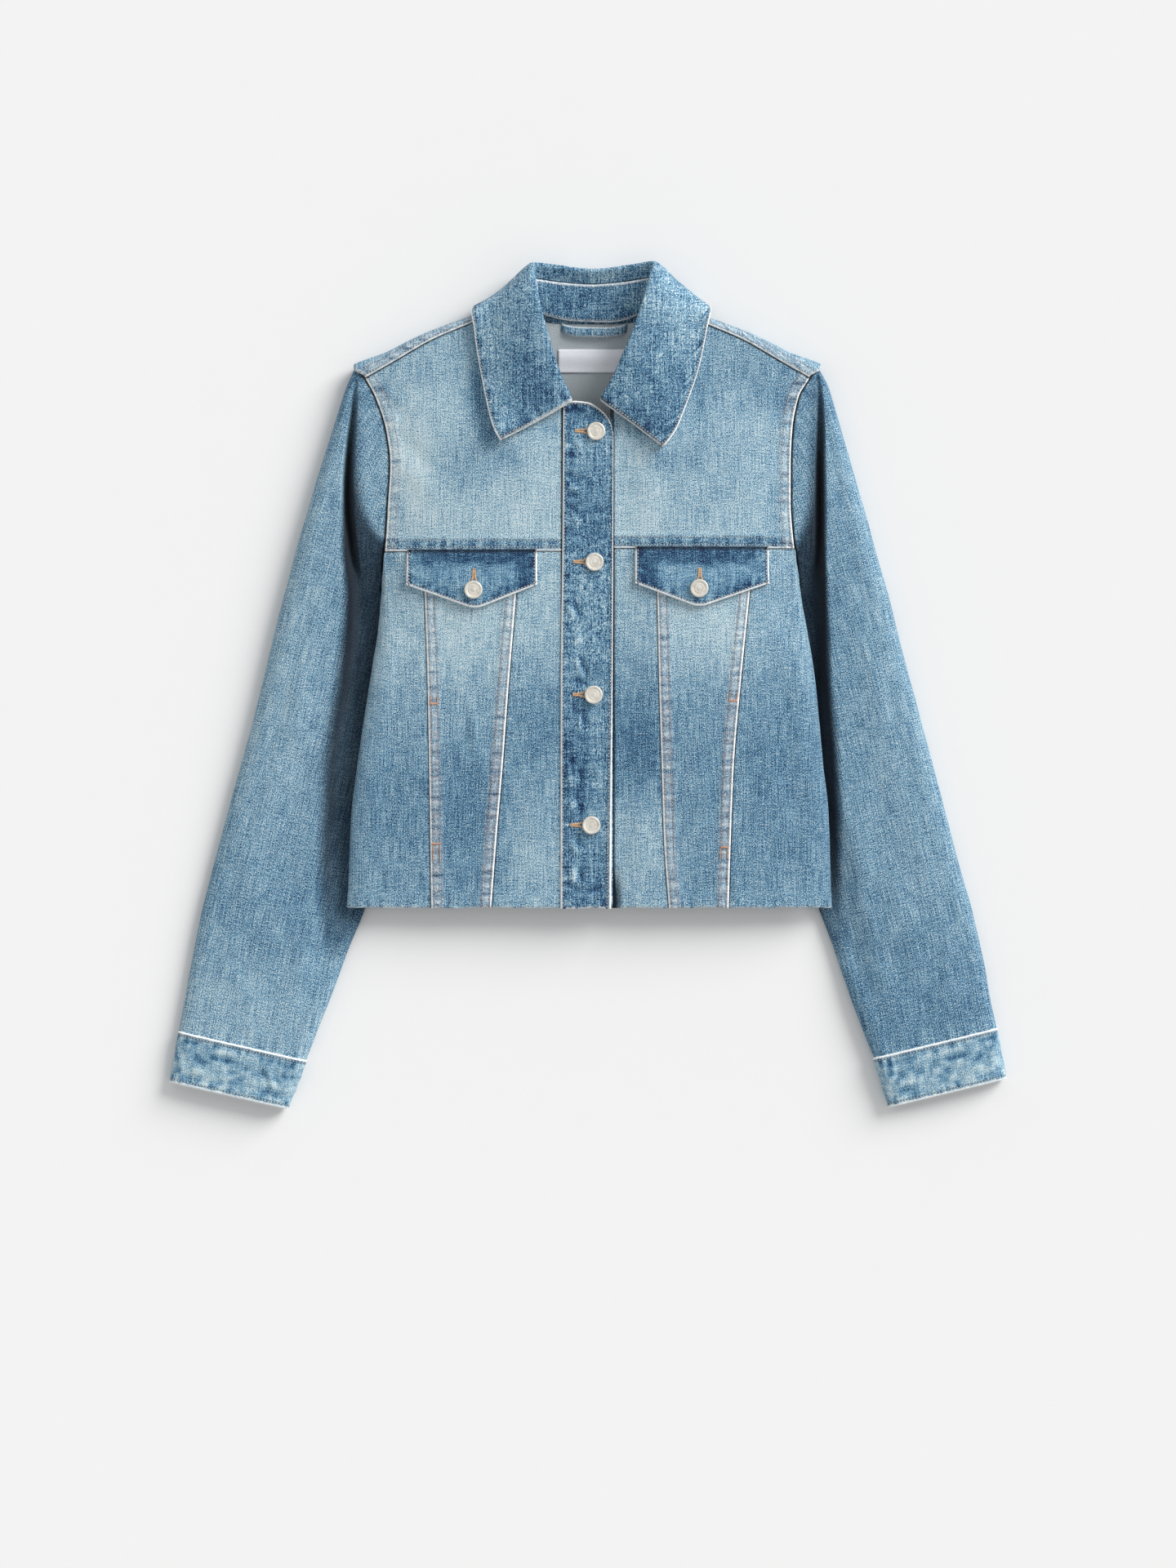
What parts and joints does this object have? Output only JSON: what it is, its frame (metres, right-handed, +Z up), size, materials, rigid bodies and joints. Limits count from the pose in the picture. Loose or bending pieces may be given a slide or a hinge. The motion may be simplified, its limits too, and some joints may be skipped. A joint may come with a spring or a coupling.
{
  "type": "denim jacket",
  "caption": "Cropped trucker jacket in washed blue denim, laid flat and buttoned, with point collar, chest pocket flaps and barrel cuffs",
  "frame": {"origin": "middle of the jacket's outline seen from above, on the surface that it lies on", "axes": "+X to the viewer's right, which is the wearer's left; +Y towards the collar; +Z up off the surface, away from the back of the jacket"},
  "size_m": [0.6991, 0.7066, 0.0403],
  "materials": {
    "denim": "washed indigo denim, twill weave with slubs, pale abraded seam edges",
    "denim_reverse": "reverse face of the denim, mostly undyed weft",
    "stitch_thread": "tone-on-tone spun sewing thread",
    "buttonhole_thread": "tan spun thread, tightly worked",
    "label_cloth": "blank woven satin tape",
    "button_metal": "worn antique nickel plate on a tack button"
  },
  "bodies": {
    "root": {"back_panel": "denim", "back_yoke": "denim", "collar_leaf": "denim", "collar_stand": "denim", "cuff_left": "denim", "cuff_right": "denim", "flap_button_left": "button_metal", "flap_button_right": "button_metal", "front_centre_left": "denim", "front_centre_right": "denim", "front_middle_left": "denim", "front_middle_right": "denim", "front_side_left": "denim", "front_side_right": "denim", "front_yoke_left": "denim", "front_yoke_right": "denim", "hanger_loop": "denim", "neck_label": "label_cloth", "placket_button_1": "button_metal", "placket_button_2": "button_metal", "placket_button_3": "button_metal", "placket_button_4": "button_metal", "placket_left": "denim", "placket_right": "denim", "pocket_flap_left": "denim", "pocket_flap_right": "denim", "sleeve_top_left": "denim", "sleeve_top_right": "denim", "sleeve_under_left": "denim", "sleeve_under_right": "denim"}
  },
  "joints": []
}
